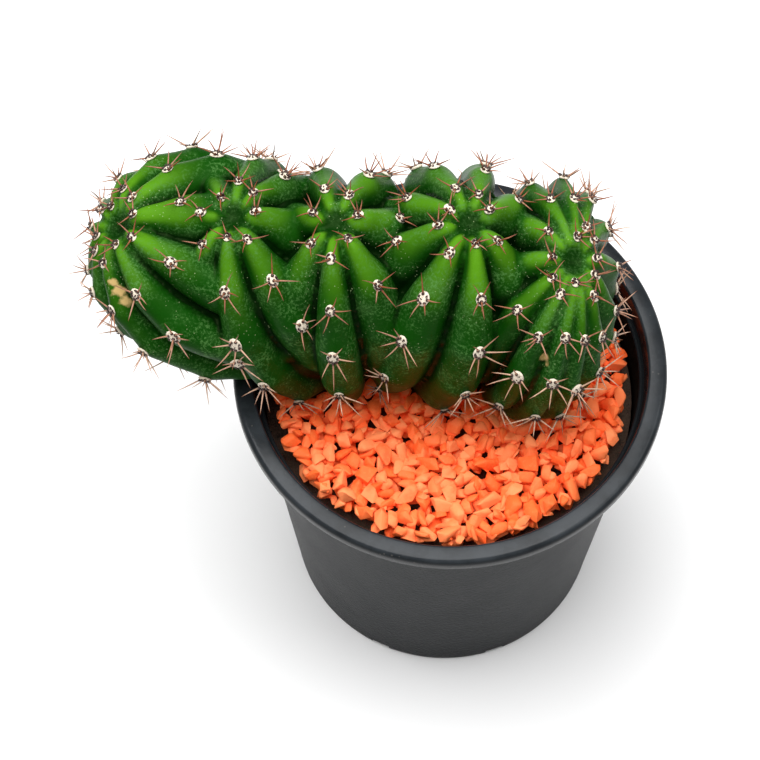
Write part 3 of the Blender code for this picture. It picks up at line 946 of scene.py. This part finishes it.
def build_spines():
    rng = random.Random(21)
    heights = np.array([v.co.z for v in SPINE_SHAPES[0].vertices])
    copies, along, tone = [], [], []
    for areole in AREOLES:
        base = areole_matrix(areole)
        paleness = lowness(areole["spot"].z, *DARK_SPINES)
        for turn, lean, share in fan_directions(rng, areole["age"]):
            spread = SOCKET_SPREAD * areole["size"] * min(lean / 50, 1.0)
            grown = YOUNG_LENGTH + LENGTH_GROWTH * areole["age"]
            length = rng.uniform(*SPINE_LENGTH) * share * grown * MM
            spin = Matrix.Rotation(math.radians(turn), 4, "Z")
            tilt = Matrix.Rotation(-math.radians(lean), 4, "X")
            root = Matrix.Translation((0, 0, SOCKET_LIFT)) @ spin @ Matrix.Translation((0, spread, 0))
            aim = (base @ spin @ tilt).to_3x3() @ Vector((0, 0, 1))
            start = base @ root @ Vector((0, 0, 0))
            _, _, _, room = SKIN_TREE.ray_cast(start + aim * SOCKET_STUB, aim, length)
            if room is not None:
                length = room * 0.9 + 0.5 * MM
            bare = share == 0.0 or length < SHORTEST_SPINE
            if bare:
                tilt, length = Matrix.Identity(4), SOCKET_STUB
            matrix = base @ root @ tilt @ Matrix.Diagonal((1, 1, length, 1))
            copies.append(placed(rng.choice(SPINE_SHAPES), matrix))
            along.append(heights * 0 if bare else heights)
            pale = min(max(paleness + rng.uniform(-0.25, 0.25), 0), 1)
            tone.append(np.full(len(heights), pale))
    print("spines and bare sockets:", len(copies))
    return join_copies(copies), np.concatenate(along), np.concatenate(tone)


spine_bm, along, tone = build_spines()
print("spine vertices:", len(spine_bm.verts))

# %% [markdown]
# ## The spines' finish
# Spines are horn: dark and red-brown when young, tan when old, with a nearly black socket. A colour
# for each would need many materials. Two numbers on the mesh, the distance along a spine and its
# tone, let one material run from socket to tip and from young to old.

# %% Spine material
SOCKET_BROWN = (0.030, 0.010, 0.006, 1)
YOUNG_SPINE = (0.260, 0.075, 0.028, 1)
YOUNG_TIP = (0.180, 0.040, 0.015, 1)
OLD_SPINE = (0.600, 0.370, 0.250, 1)
OLD_TIP = (0.330, 0.110, 0.040, 1)


def spine_material():
    made, tree, shader = new_material("spine horn", 0.42)
    along = attribute(tree, "along")
    tone = attribute(tree, "tone")
    young = blend_colour(tree, ramp(tree, along, 0.5, 0.95), YOUNG_SPINE, YOUNG_TIP)
    old = blend_colour(tree, ramp(tree, along, 0.72, 1.0), OLD_SPINE, OLD_TIP)
    colour = blend_colour(tree, tone, young, old)
    streaks = noise_at(tree, object_coordinates(tree), 900.0, 2.0)
    colour = blend_colour(tree, ramp(tree, streaks, 0.45, 0.7, 0.0, 0.35), colour, SOCKET_BROWN)
    colour = blend_colour(tree, ramp(tree, along, 0.07, 0.16, 1.0, 0.0), colour, SOCKET_BROWN)
    tree.links.new(colour, shader.inputs["Base Color"])
    bump(tree, shader, streaks, 0.05 * MM, 0.5)
    return made


CAD_FANS = [name for name in NODES if "_spines_" in name]
SPINES = add_piece("spines", spine_bm, spine_material(), CAD_FANS)
store(SPINES.data, "along", along)
store(SPINES.data, "tone", tone)
print("spine clusters of the frame replaced:", len(CAD_FANS))

# %% [markdown]
# ## Gravel chips
# The gravel is dyed stone: longish angular chips with worn edges. A sphere pushed about by noise
# looks like a potato; the hull of a few scattered points, with its edges bevelled, has the flat
# faces of broken stone. A dozen or so shapes are enough, because each copy is turned and scaled.

# %% Gravel chips
CHIP_SHAPES = 14
CHIP_POINTS = 11
CHIP_STRETCH = (1.28, 0.86, 0.72)
CHIP_FLATTEN = math.radians(14)    # faces that meet at less than this become one
CHIP_BEVEL = 0.20
CHIP_WELD = 0.001        # a bevel that runs out of room leaves corners this close together


def chip_template(number):
    rng = random.Random(100 + number)
    bm = bmesh.new()
    for _ in range(CHIP_POINTS):
        direction = Vector((rng.gauss(0, 1), rng.gauss(0, 1), rng.gauss(0, 1))).normalized()
        direction *= rng.uniform(0.82, 1.05)
        bm.verts.new([part * stretch for part, stretch in zip(direction, CHIP_STRETCH)])
    hull = bmesh.ops.convex_hull(bm, input=bm.verts)
    inner = [v for v in hull["geom_interior"] if isinstance(v, bmesh.types.BMVert)]
    bmesh.ops.delete(bm, geom=inner, context="VERTS")
    bmesh.ops.dissolve_limit(bm, angle_limit=CHIP_FLATTEN, verts=bm.verts, edges=bm.edges)
    bmesh.ops.bevel(bm, geom=bm.edges[:] + bm.verts[:], offset=CHIP_BEVEL, segments=1, profile=0.5,
                    affect="EDGES", material=-1, clamp_overlap=True)
    bmesh.ops.remove_doubles(bm, verts=bm.verts, dist=CHIP_WELD)
    bmesh.ops.recalc_face_normals(bm, faces=bm.faces)
    mesh = bpy.data.meshes.new("chip")
    bm.to_mesh(mesh)
    bm.free()
    return mesh


CHIPS = [chip_template(number) for number in range(CHIP_SHAPES)]
print("faces of each chip:", [len(chip.polygons) for chip in CHIPS])

# %% [markdown]
# ## Dye
# The stone is soaked in an orange dye that takes unevenly: some chips are paler, and every chip has
# stains. One number a chip, stored on the mesh, sets its tint; noise gives the stains and the grit.

# %% Gravel material
CORAL = (0.980, 0.145, 0.028, 1)
DEEP_CORAL = (0.930, 0.085, 0.010, 1)
SALMON = (1.000, 0.270, 0.095, 1)
PAINTED_GAP_GLOW = (1.000, 0.120, 0.010, 1)    # painted glow: it lights the gaps between chips as bounced light would


def gravel_material():
    made, tree, shader = new_material("dyed gravel", 0.6)
    where = object_coordinates(tree)
    tint = attribute(tree, "tint")
    stains = noise_at(tree, where, 210.0, 3.0)
    colour = blend_colour(tree, ramp(tree, tint, 0.1, 0.9), CORAL, SALMON)
    colour = blend_colour(tree, ramp(tree, stains, 0.48, 0.75, 0.0, 0.7), colour, DEEP_CORAL)
    grit = grain(tree, where, 1100.0, 0.7)
    colour = blend_colour(tree, ramp(tree, grit, 0.85, 1.15, 0.0, 0.35), colour, SALMON)
    tree.links.new(colour, shader.inputs["Base Color"])
    tree.links.new(ramp(tree, grit, 0.4, 1.1, 0.48, 0.75), shader.inputs["Roughness"])
    shader.inputs["Specular IOR Level"].default_value = 0.3
    # painted glow: a faint emission that brightens the gaps between chips in place of bounced light
    shader.inputs["Emission Color"].default_value = PAINTED_GAP_GLOW
    shader.inputs["Emission Strength"].default_value = 0.04
    bump(tree, shader, grit, 0.18 * MM, 0.6)
    return made


GRAVEL_FINISH = gravel_material()
print("gravel nodes:", len(GRAVEL_FINISH.node_tree.nodes))

# %% [markdown]
# ## Scattering the gravel
# Poured gravel settles in layers. Dropping it with a physics simulation would be slow, so chips are
# scattered layer by layer. A chip is kept if it is clear of its neighbours, the wall and the stem,
# and later tries are smaller, to fill the gaps. The biggest stones are in the top layer.

# %% Scatter the gravel
GRAVEL_REACH = 52.0 * MM
PACKING = 0.72           # how close two chips may come, over the sum of their half sizes
TRIES = 14000
LAST_SHRINK = 0.35       # how much smaller the last tries are
WALL_CLEARANCE = 0.7     # over a chip's half size
STEM_CLEARANCE = 0.75    # over a chip's half size
UNEVEN = 0.7             # how far a chip may lie above or below its layer, mm
TILT = 0.4               # how far a chip may lean, radians
LAYERS = (               # height and half sizes, mm
    (99.5, (2.8, 3.6)),
    (101.6, (2.6, 3.6)),
    (103.2, (2.5, 3.4)),
    (104.2, (2.5, 4.1)),
)


def scatter_layer(rng, templates, height, half_sizes):
    """Chips of one layer: each try is kept if it is clear of its neighbours, wall and stem."""
    copies, tints = [], []
    cell = 2 * half_sizes[1] * MM
    grid = {}
    for attempt in range(TRIES):
        shrink = 1 - LAST_SHRINK * attempt / TRIES
        angle = rng.uniform(0, math.tau)
        reach = GRAVEL_REACH * math.sqrt(rng.random())
        x, y = reach * math.cos(angle), reach * math.sin(angle)
        half = rng.uniform(*half_sizes) * MM * shrink
        if reach > GRAVEL_REACH - half * WALL_CLEARANCE:
            continue
        key = (int(x // cell), int(y // cell))
        cells = [(key[0] + i, key[1] + j) for i in (-1, 0, 1) for j in (-1, 0, 1)]
        near = [chip for cell_key in cells for chip in grid.get(cell_key, ())]
        if any(math.hypot(x - px, y - py) < PACKING * (half + other) for px, py, other in near):
            continue
        place = Vector((x, y, height * MM + rng.uniform(-UNEVEN, UNEVEN) * MM))
        spot, normal, _, distance = SKIN_TREE.find_nearest(place)
        inside = (place - spot).dot(normal) < 0
        if inside or distance < half * STEM_CLEARANCE:
            continue
        grid.setdefault(key, []).append((x, y, half))
        tilts = [rng.uniform(-TILT, TILT), rng.uniform(-TILT, TILT)]
        turn = Euler(tilts + [rng.uniform(0, math.tau)])
        matrix = Matrix.Translation(place) @ turn.to_matrix().to_4x4() @ Matrix.Scale(half, 4)
        shape = rng.choice(templates)
        copies.append(placed(shape, matrix))
        tints.append(np.full(len(shape.vertices), rng.random()))
    return copies, tints


gravel_rng = random.Random(5)
for number, (height, half_sizes) in enumerate(LAYERS):
    copies, tints = scatter_layer(gravel_rng, CHIPS, height, half_sizes)
    stands_for = ("gravel_bed",) if number == 0 else ()
    name = f"gravel_layer_{number + 1}"
    layer = add_piece(name, join_copies(copies), GRAVEL_FINISH, stands_for)
    layer.data.set_sharp_from_angle(angle=math.radians(40))
    store(layer.data, "tint", np.concatenate(tints))
    print(name, "chips:", len(tints), "faces:", len(layer.data.polygons))

# %% [markdown]
# ## The pot's profile
# The pot is one thin moulding: a tapered wall, a broad rolled rim with a short skirt, an inner
# ledge, and a base with drainage channels. It could be a cylinder with its walls pushed about, but
# a moulding is a profile turned round an axis, so its profile is drawn and spun once round.

# %% Profile of the pot
SPIN_STEPS = 160
WELD = 0.005 * MM
SKIRT_DROP = 4.1 * MM
WALL = 1.3 * MM
BODY_TOP_RADIUS = 56.9 * MM
BASE_RADIUS = 47.5 * MM
MOUTH_RADIUS = 57.4 * MM
CROWN_RADIUS = 60.7 * MM
LEDGE_DROP = 5.9 * MM
FLOOR_TOP = 4.0 * MM
CHANNEL_HEIGHT = 2.6 * MM


def arc(centre_x, centre_z, radius, start, end, steps):
    """Points on a quarter round, angles in degrees, for a rolled edge."""
    angles = [math.radians(start + (end - start) * i / steps) for i in range(steps + 1)]
    return [(centre_x + radius * math.cos(a), centre_z + radius * math.sin(a)) for a in angles]


def inner_radius(z):
    share = z / (POT_HEIGHT - SKIRT_DROP)
    return BASE_RADIUS + (BODY_TOP_RADIUS - BASE_RADIUS) * share - WALL


def pot_profile():
    ledge = POT_HEIGHT - LEDGE_DROP
    skirt = POT_HEIGHT - SKIRT_DROP
    roll = RIM_RADIUS - CROWN_RADIUS
    # inside: floor, wall and ledge
    profile = [(0.0, FLOOR_TOP), (inner_radius(FLOOR_TOP) - MM, FLOOR_TOP)]
    profile += [(inner_radius(FLOOR_TOP + MM), FLOOR_TOP + MM)]
    profile += [(inner_radius(ledge - 2.4 * MM), ledge - 2.4 * MM)]
    profile += arc(inner_radius(ledge) - 0.1 * MM, ledge - 0.6 * MM, 0.6 * MM, 160, 60, 4)
    profile += [(inner_radius(ledge) + 0.8 * MM, ledge + 0.3 * MM)]
    # rim: lip, crown, rolled edge and skirt
    profile += [(MOUTH_RADIUS - 0.5 * MM, POT_HEIGHT - 1.2 * MM)]
    profile += arc(MOUTH_RADIUS + 0.35 * MM, POT_HEIGHT - 0.8 * MM, 0.8 * MM, 170, 90, 4)
    profile += arc(CROWN_RADIUS, POT_HEIGHT - roll, roll, 90, 0, 7)
    profile += [(RIM_RADIUS, skirt + 0.4 * MM)]
    profile += arc(RIM_RADIUS - 0.4 * MM, skirt + 0.4 * MM, 0.4 * MM, 0, -90, 3)
    profile += [(RIM_RADIUS - WALL, skirt), (RIM_RADIUS - WALL - 0.4 * MM, skirt + 1.6 * MM)]
    # outside: wall, a ring above the channels that keeps its long faces whole, and the foot
    profile += [(BODY_TOP_RADIUS + 0.6 * MM, skirt + 1.6 * MM), (BODY_TOP_RADIUS, skirt + 0.4 * MM)]
    above_channels = CHANNEL_HEIGHT + 1.5 * MM
    profile += [(inner_radius(above_channels) + WALL, above_channels)]
    profile += [(BASE_RADIUS + 0.25 * MM, 2.0 * MM)]
    profile += arc(BASE_RADIUS - 1.1 * MM, 1.2 * MM, 1.2 * MM, 0, -90, 4)
    profile += [(0.0, 0.0)]
    return profile


def spun(profile):
    bm = bmesh.new()
    points = [bm.verts.new((x, 0.0, z)) for x, z in profile]
    edges = [bm.edges.new(pair) for pair in zip(points, points[1:])]
    bmesh.ops.spin(bm, geom=points + edges, cent=(0, 0, 0), axis=(0, 0, 1), angle=math.tau,
                   steps=SPIN_STEPS, use_merge=True)
    bmesh.ops.remove_doubles(bm, verts=bm.verts, dist=WELD)
    bmesh.ops.recalc_face_normals(bm, faces=bm.faces)
    return bm


pot_bm = spun(pot_profile())
print("faces of the spun pot:", len(pot_bm.faces))

# %% [markdown]
# ## Drainage
# Water leaves through holes in the floor and runs out along channels that notch the foot. Cutting
# them by hand would leave many loose ends, so one Boolean takes all channels and holes away.

# %% Drainage channels
CHANNELS = 8
CHANNEL_WIDTH = 6.0 * MM
CHANNEL_START = 16.0 * MM
DRAIN_HOLE_RADIUS = 2.97 * MM
DRAIN_HOLE_REACH = 34.0 * MM


def drain_cutter():
    """Channels out of the base and a hole in each."""
    bm = bmesh.new()
    length = BASE_RADIUS + 5 * MM - CHANNEL_START
    for turn in range(CHANNELS):
        spin = Matrix.Rotation(math.tau * (turn + 0.5) / CHANNELS, 4, "Z")
        slot = Matrix.Translation((CHANNEL_START + length / 2, 0, CHANNEL_HEIGHT / 2 - 2 * MM))
        size = Matrix.Diagonal((length, CHANNEL_WIDTH, CHANNEL_HEIGHT + 4 * MM, 1))
        bmesh.ops.create_cube(bm, size=1.0, matrix=spin @ slot @ size)
        hole = spin @ Matrix.Translation((DRAIN_HOLE_REACH, 0, 0))
        bmesh.ops.create_cone(bm, cap_ends=True, segments=20, radius1=DRAIN_HOLE_RADIUS,
                              radius2=DRAIN_HOLE_RADIUS, depth=20 * MM, matrix=hole)
    return bm


def cut_with(bm, cutter_bm):
    """Cuts one closed bmesh with another and returns the result."""
    objects = []
    for name, form in (("whole", bm), ("cutter", cutter_bm)):
        mesh = bpy.data.meshes.new(name)
        form.to_mesh(mesh)
        form.free()
        made = bpy.data.objects.new(name, mesh)
        bpy.context.scene.collection.objects.link(made)
        objects.append(made)
    whole, cutter = objects
    boolean = whole.modifiers.new("cut", "BOOLEAN")
    boolean.operation = "DIFFERENCE"
    boolean.solver = "EXACT"
    boolean.use_self = True
    boolean.object = cutter
    depsgraph = bpy.context.evaluated_depsgraph_get()
    mesh = bpy.data.meshes.new_from_object(whole.evaluated_get(depsgraph))
    for made in objects:
        bpy.data.objects.remove(made)
    result = bmesh.new()
    result.from_mesh(mesh)
    return result


pot_bm = cut_with(pot_bm, drain_cutter())
print("faces of the cut pot:", len(pot_bm.faces))

# %% [markdown]
# ## The pot's finish
# The plastic is charcoal. Its rim is smooth and glossy and a little worn on top; its body has a
# pebbled, duller surface. Two materials could do this, but the moulding is one piece, so one
# material changes with height, and a thin coat gives only the rim its sharper shine.

# %% Plastic material
RIM_COAT = 0.26
DUST_STRENGTH = 0.25
PLASTIC = (0.008, 0.0095, 0.011, 1)
WORN_PLASTIC = (0.030, 0.035, 0.040, 1)
DUST = (0.180, 0.165, 0.145, 1)


def plastic_material():
    made, tree, shader = new_material("charcoal plastic", 0.35)
    where = object_coordinates(tree)
    height_z = node(tree, "ShaderNodeSeparateXYZ")
    tree.links.new(where, height_z.inputs["Vector"])
    above = ramp(tree, height_z.outputs["Z"], POT_HEIGHT - 1.4 * MM, POT_HEIGHT - 0.2 * MM)
    worn = noise_at(tree, where, 60.0, 4.0, 0.6)
    worn_top = maths(tree, "MULTIPLY", above, ramp(tree, worn, 0.25, 0.75))
    colour = blend_colour(tree, worn_top, PLASTIC, WORN_PLASTIC)
    dust = maths(tree, "MULTIPLY", specks(tree, where, 420.0, 0.11), DUST_STRENGTH)
    colour = blend_colour(tree, dust, colour, DUST)
    tree.links.new(colour, shader.inputs["Base Color"])
    rough = maths(tree, "ADD", maths(tree, "MULTIPLY", worn, 0.10), 0.20)
    body = ramp(tree, height_z.outputs["Z"], POT_HEIGHT - 5 * MM, POT_HEIGHT - 4 * MM, 1.0, 0.15)
    rough = maths(tree, "ADD", rough, maths(tree, "MULTIPLY", body, 0.14))
    tree.links.new(rough, shader.inputs["Roughness"])
    tree.links.new(ramp(tree, body, 0.15, 1.0, RIM_COAT, 0.0), shader.inputs["Coat Weight"])
    shader.inputs["Coat Roughness"].default_value = 0.20
    shader.inputs["Specular IOR Level"].default_value = 0.045
    pebbles = maths(tree, "MULTIPLY", grain(tree, where, 1100.0, 0.3), body)
    bump(tree, shader, pebbles, 0.30 * MM, 0.7)
    return made


POT = add_piece("nursery_pot", pot_bm, plastic_material(), ("pot",))
POT.data.set_sharp_from_angle(angle=math.radians(35))
print("pot triangles:", sum(len(p.vertices) - 2 for p in POT.data.polygons))

# %% [markdown]
# ## The soil
# The soil is the frame's own solid. It could be modelled crumb by crumb, but it shows only through
# gaps in the gravel, so a dark crumbly material on that solid is enough.

# %% Soil material
EARTH_DARK = (0.010, 0.006, 0.004, 1)
EARTH_PALE = (0.060, 0.036, 0.022, 1)


def earth_material():
    made, tree, shader = new_material("potting earth", 0.95)
    where = object_coordinates(tree)
    crumbs = grain(tree, where, 420.0, 0.8)
    colour = blend_colour(tree, ramp(tree, crumbs, 0.45, 0.95), EARTH_DARK, EARTH_PALE)
    tree.links.new(colour, shader.inputs["Base Color"])
    bump(tree, shader, crumbs, 0.8 * MM, 0.9)
    return made


SOIL = NODES["potting_soil"]
SOIL.data.materials.clear()
SOIL.data.materials.append(earth_material())
print("soil triangles:", len(SOIL.data.polygons))

# %% [markdown]
# ## Floor
# The object stands on a plain pale sheet. A curved backdrop would do too, but from above only the
# floor is seen, so one large flat face is enough.

# %% Floor
FLOOR_SIZE = 6.0
FLOOR_WHITE = (0.93, 0.93, 0.93, 1)


def floor_material():
    made, tree, shader = new_material("pale floor", 0.9)
    shader.inputs["Base Color"].default_value = FLOOR_WHITE
    return made


bm = bmesh.new()
bmesh.ops.create_grid(bm, x_segments=1, y_segments=1, size=FLOOR_SIZE / 2)
floor_mesh = bpy.data.meshes.new("floor")
bm.to_mesh(floor_mesh)
bm.free()
FLOOR = bpy.data.objects.new("floor", floor_mesh)
bpy.context.scene.collection.objects.link(FLOOR)
floor_mesh.materials.append(floor_material())
print("floor, m:", FLOOR_SIZE)

# %% [markdown]
# ## Light
# One large soft light hangs overhead, a little to the left, so the creases hold shadow and shadows
# on the floor have no edge. A weaker one high on the right opens the dark side, and a dim even
# surround fills the rest. Small lamps would give hard shadows and sparkle on every rib.

# %% Lights
SURROUND = 0.28
AIM = (0, 0, 0.12)       # the lamps point at the middle of the object


def soft_light(name, place, target, size, power):
    lamp = bpy.data.lights.new(name, "AREA")
    lamp.shape = "DISK"
    lamp.size = size
    lamp.energy = power
    made = bpy.data.objects.new(name, lamp)
    made.location = place
    made.rotation_euler = (Vector(target) - Vector(place)).to_track_quat("-Z", "Y").to_euler()
    bpy.context.scene.collection.objects.link(made)


soft_light("key", place=(-0.22, 0.08, 1.20), target=AIM, size=1.20, power=22.0)
soft_light("side", place=(0.55, 0.05, 1.00), target=AIM, size=0.80, power=4.0)

world = bpy.data.worlds.new("studio")
bpy.context.scene.world = world
world.use_nodes = True
surround = world.node_tree.nodes["Background"]
surround.inputs["Color"].default_value = (1.0, 1.0, 1.0, 1)
surround.inputs["Strength"].default_value = SURROUND
print("lamps:", len(bpy.data.lights))

# %% [markdown]
# ## Camera
# The camera looks down from the front at about sixty degrees, from some 70 cm away with a long
# lens, as a product shot does. A wide lens close by would make the near rim look too big.

# %% Camera
CAMERA_PLACE = Vector((0.0, -0.3300, 0.7527))
CAMERA_TARGET = Vector((-0.0198, -0.0066, 0.1142))
CAMERA_ROLL = math.radians(-0.56)
LENS = 118.4
SENSOR = 36.0

lens = bpy.data.cameras.new("camera")
lens.lens = LENS
lens.sensor_width = SENSOR
CAMERA = bpy.data.objects.new("camera", lens)
look = (CAMERA_TARGET - CAMERA_PLACE).to_track_quat("-Z", "Y").to_matrix().to_4x4()
CAMERA.matrix_world = Matrix.Translation(CAMERA_PLACE) @ look @ Matrix.Rotation(CAMERA_ROLL, 4, "Z")
bpy.context.scene.collection.objects.link(CAMERA)
bpy.context.scene.camera = CAMERA
bpy.context.scene.view_settings.view_transform = "Standard"
print("camera distance, m:", round((CAMERA_TARGET - CAMERA_PLACE).length, 3))
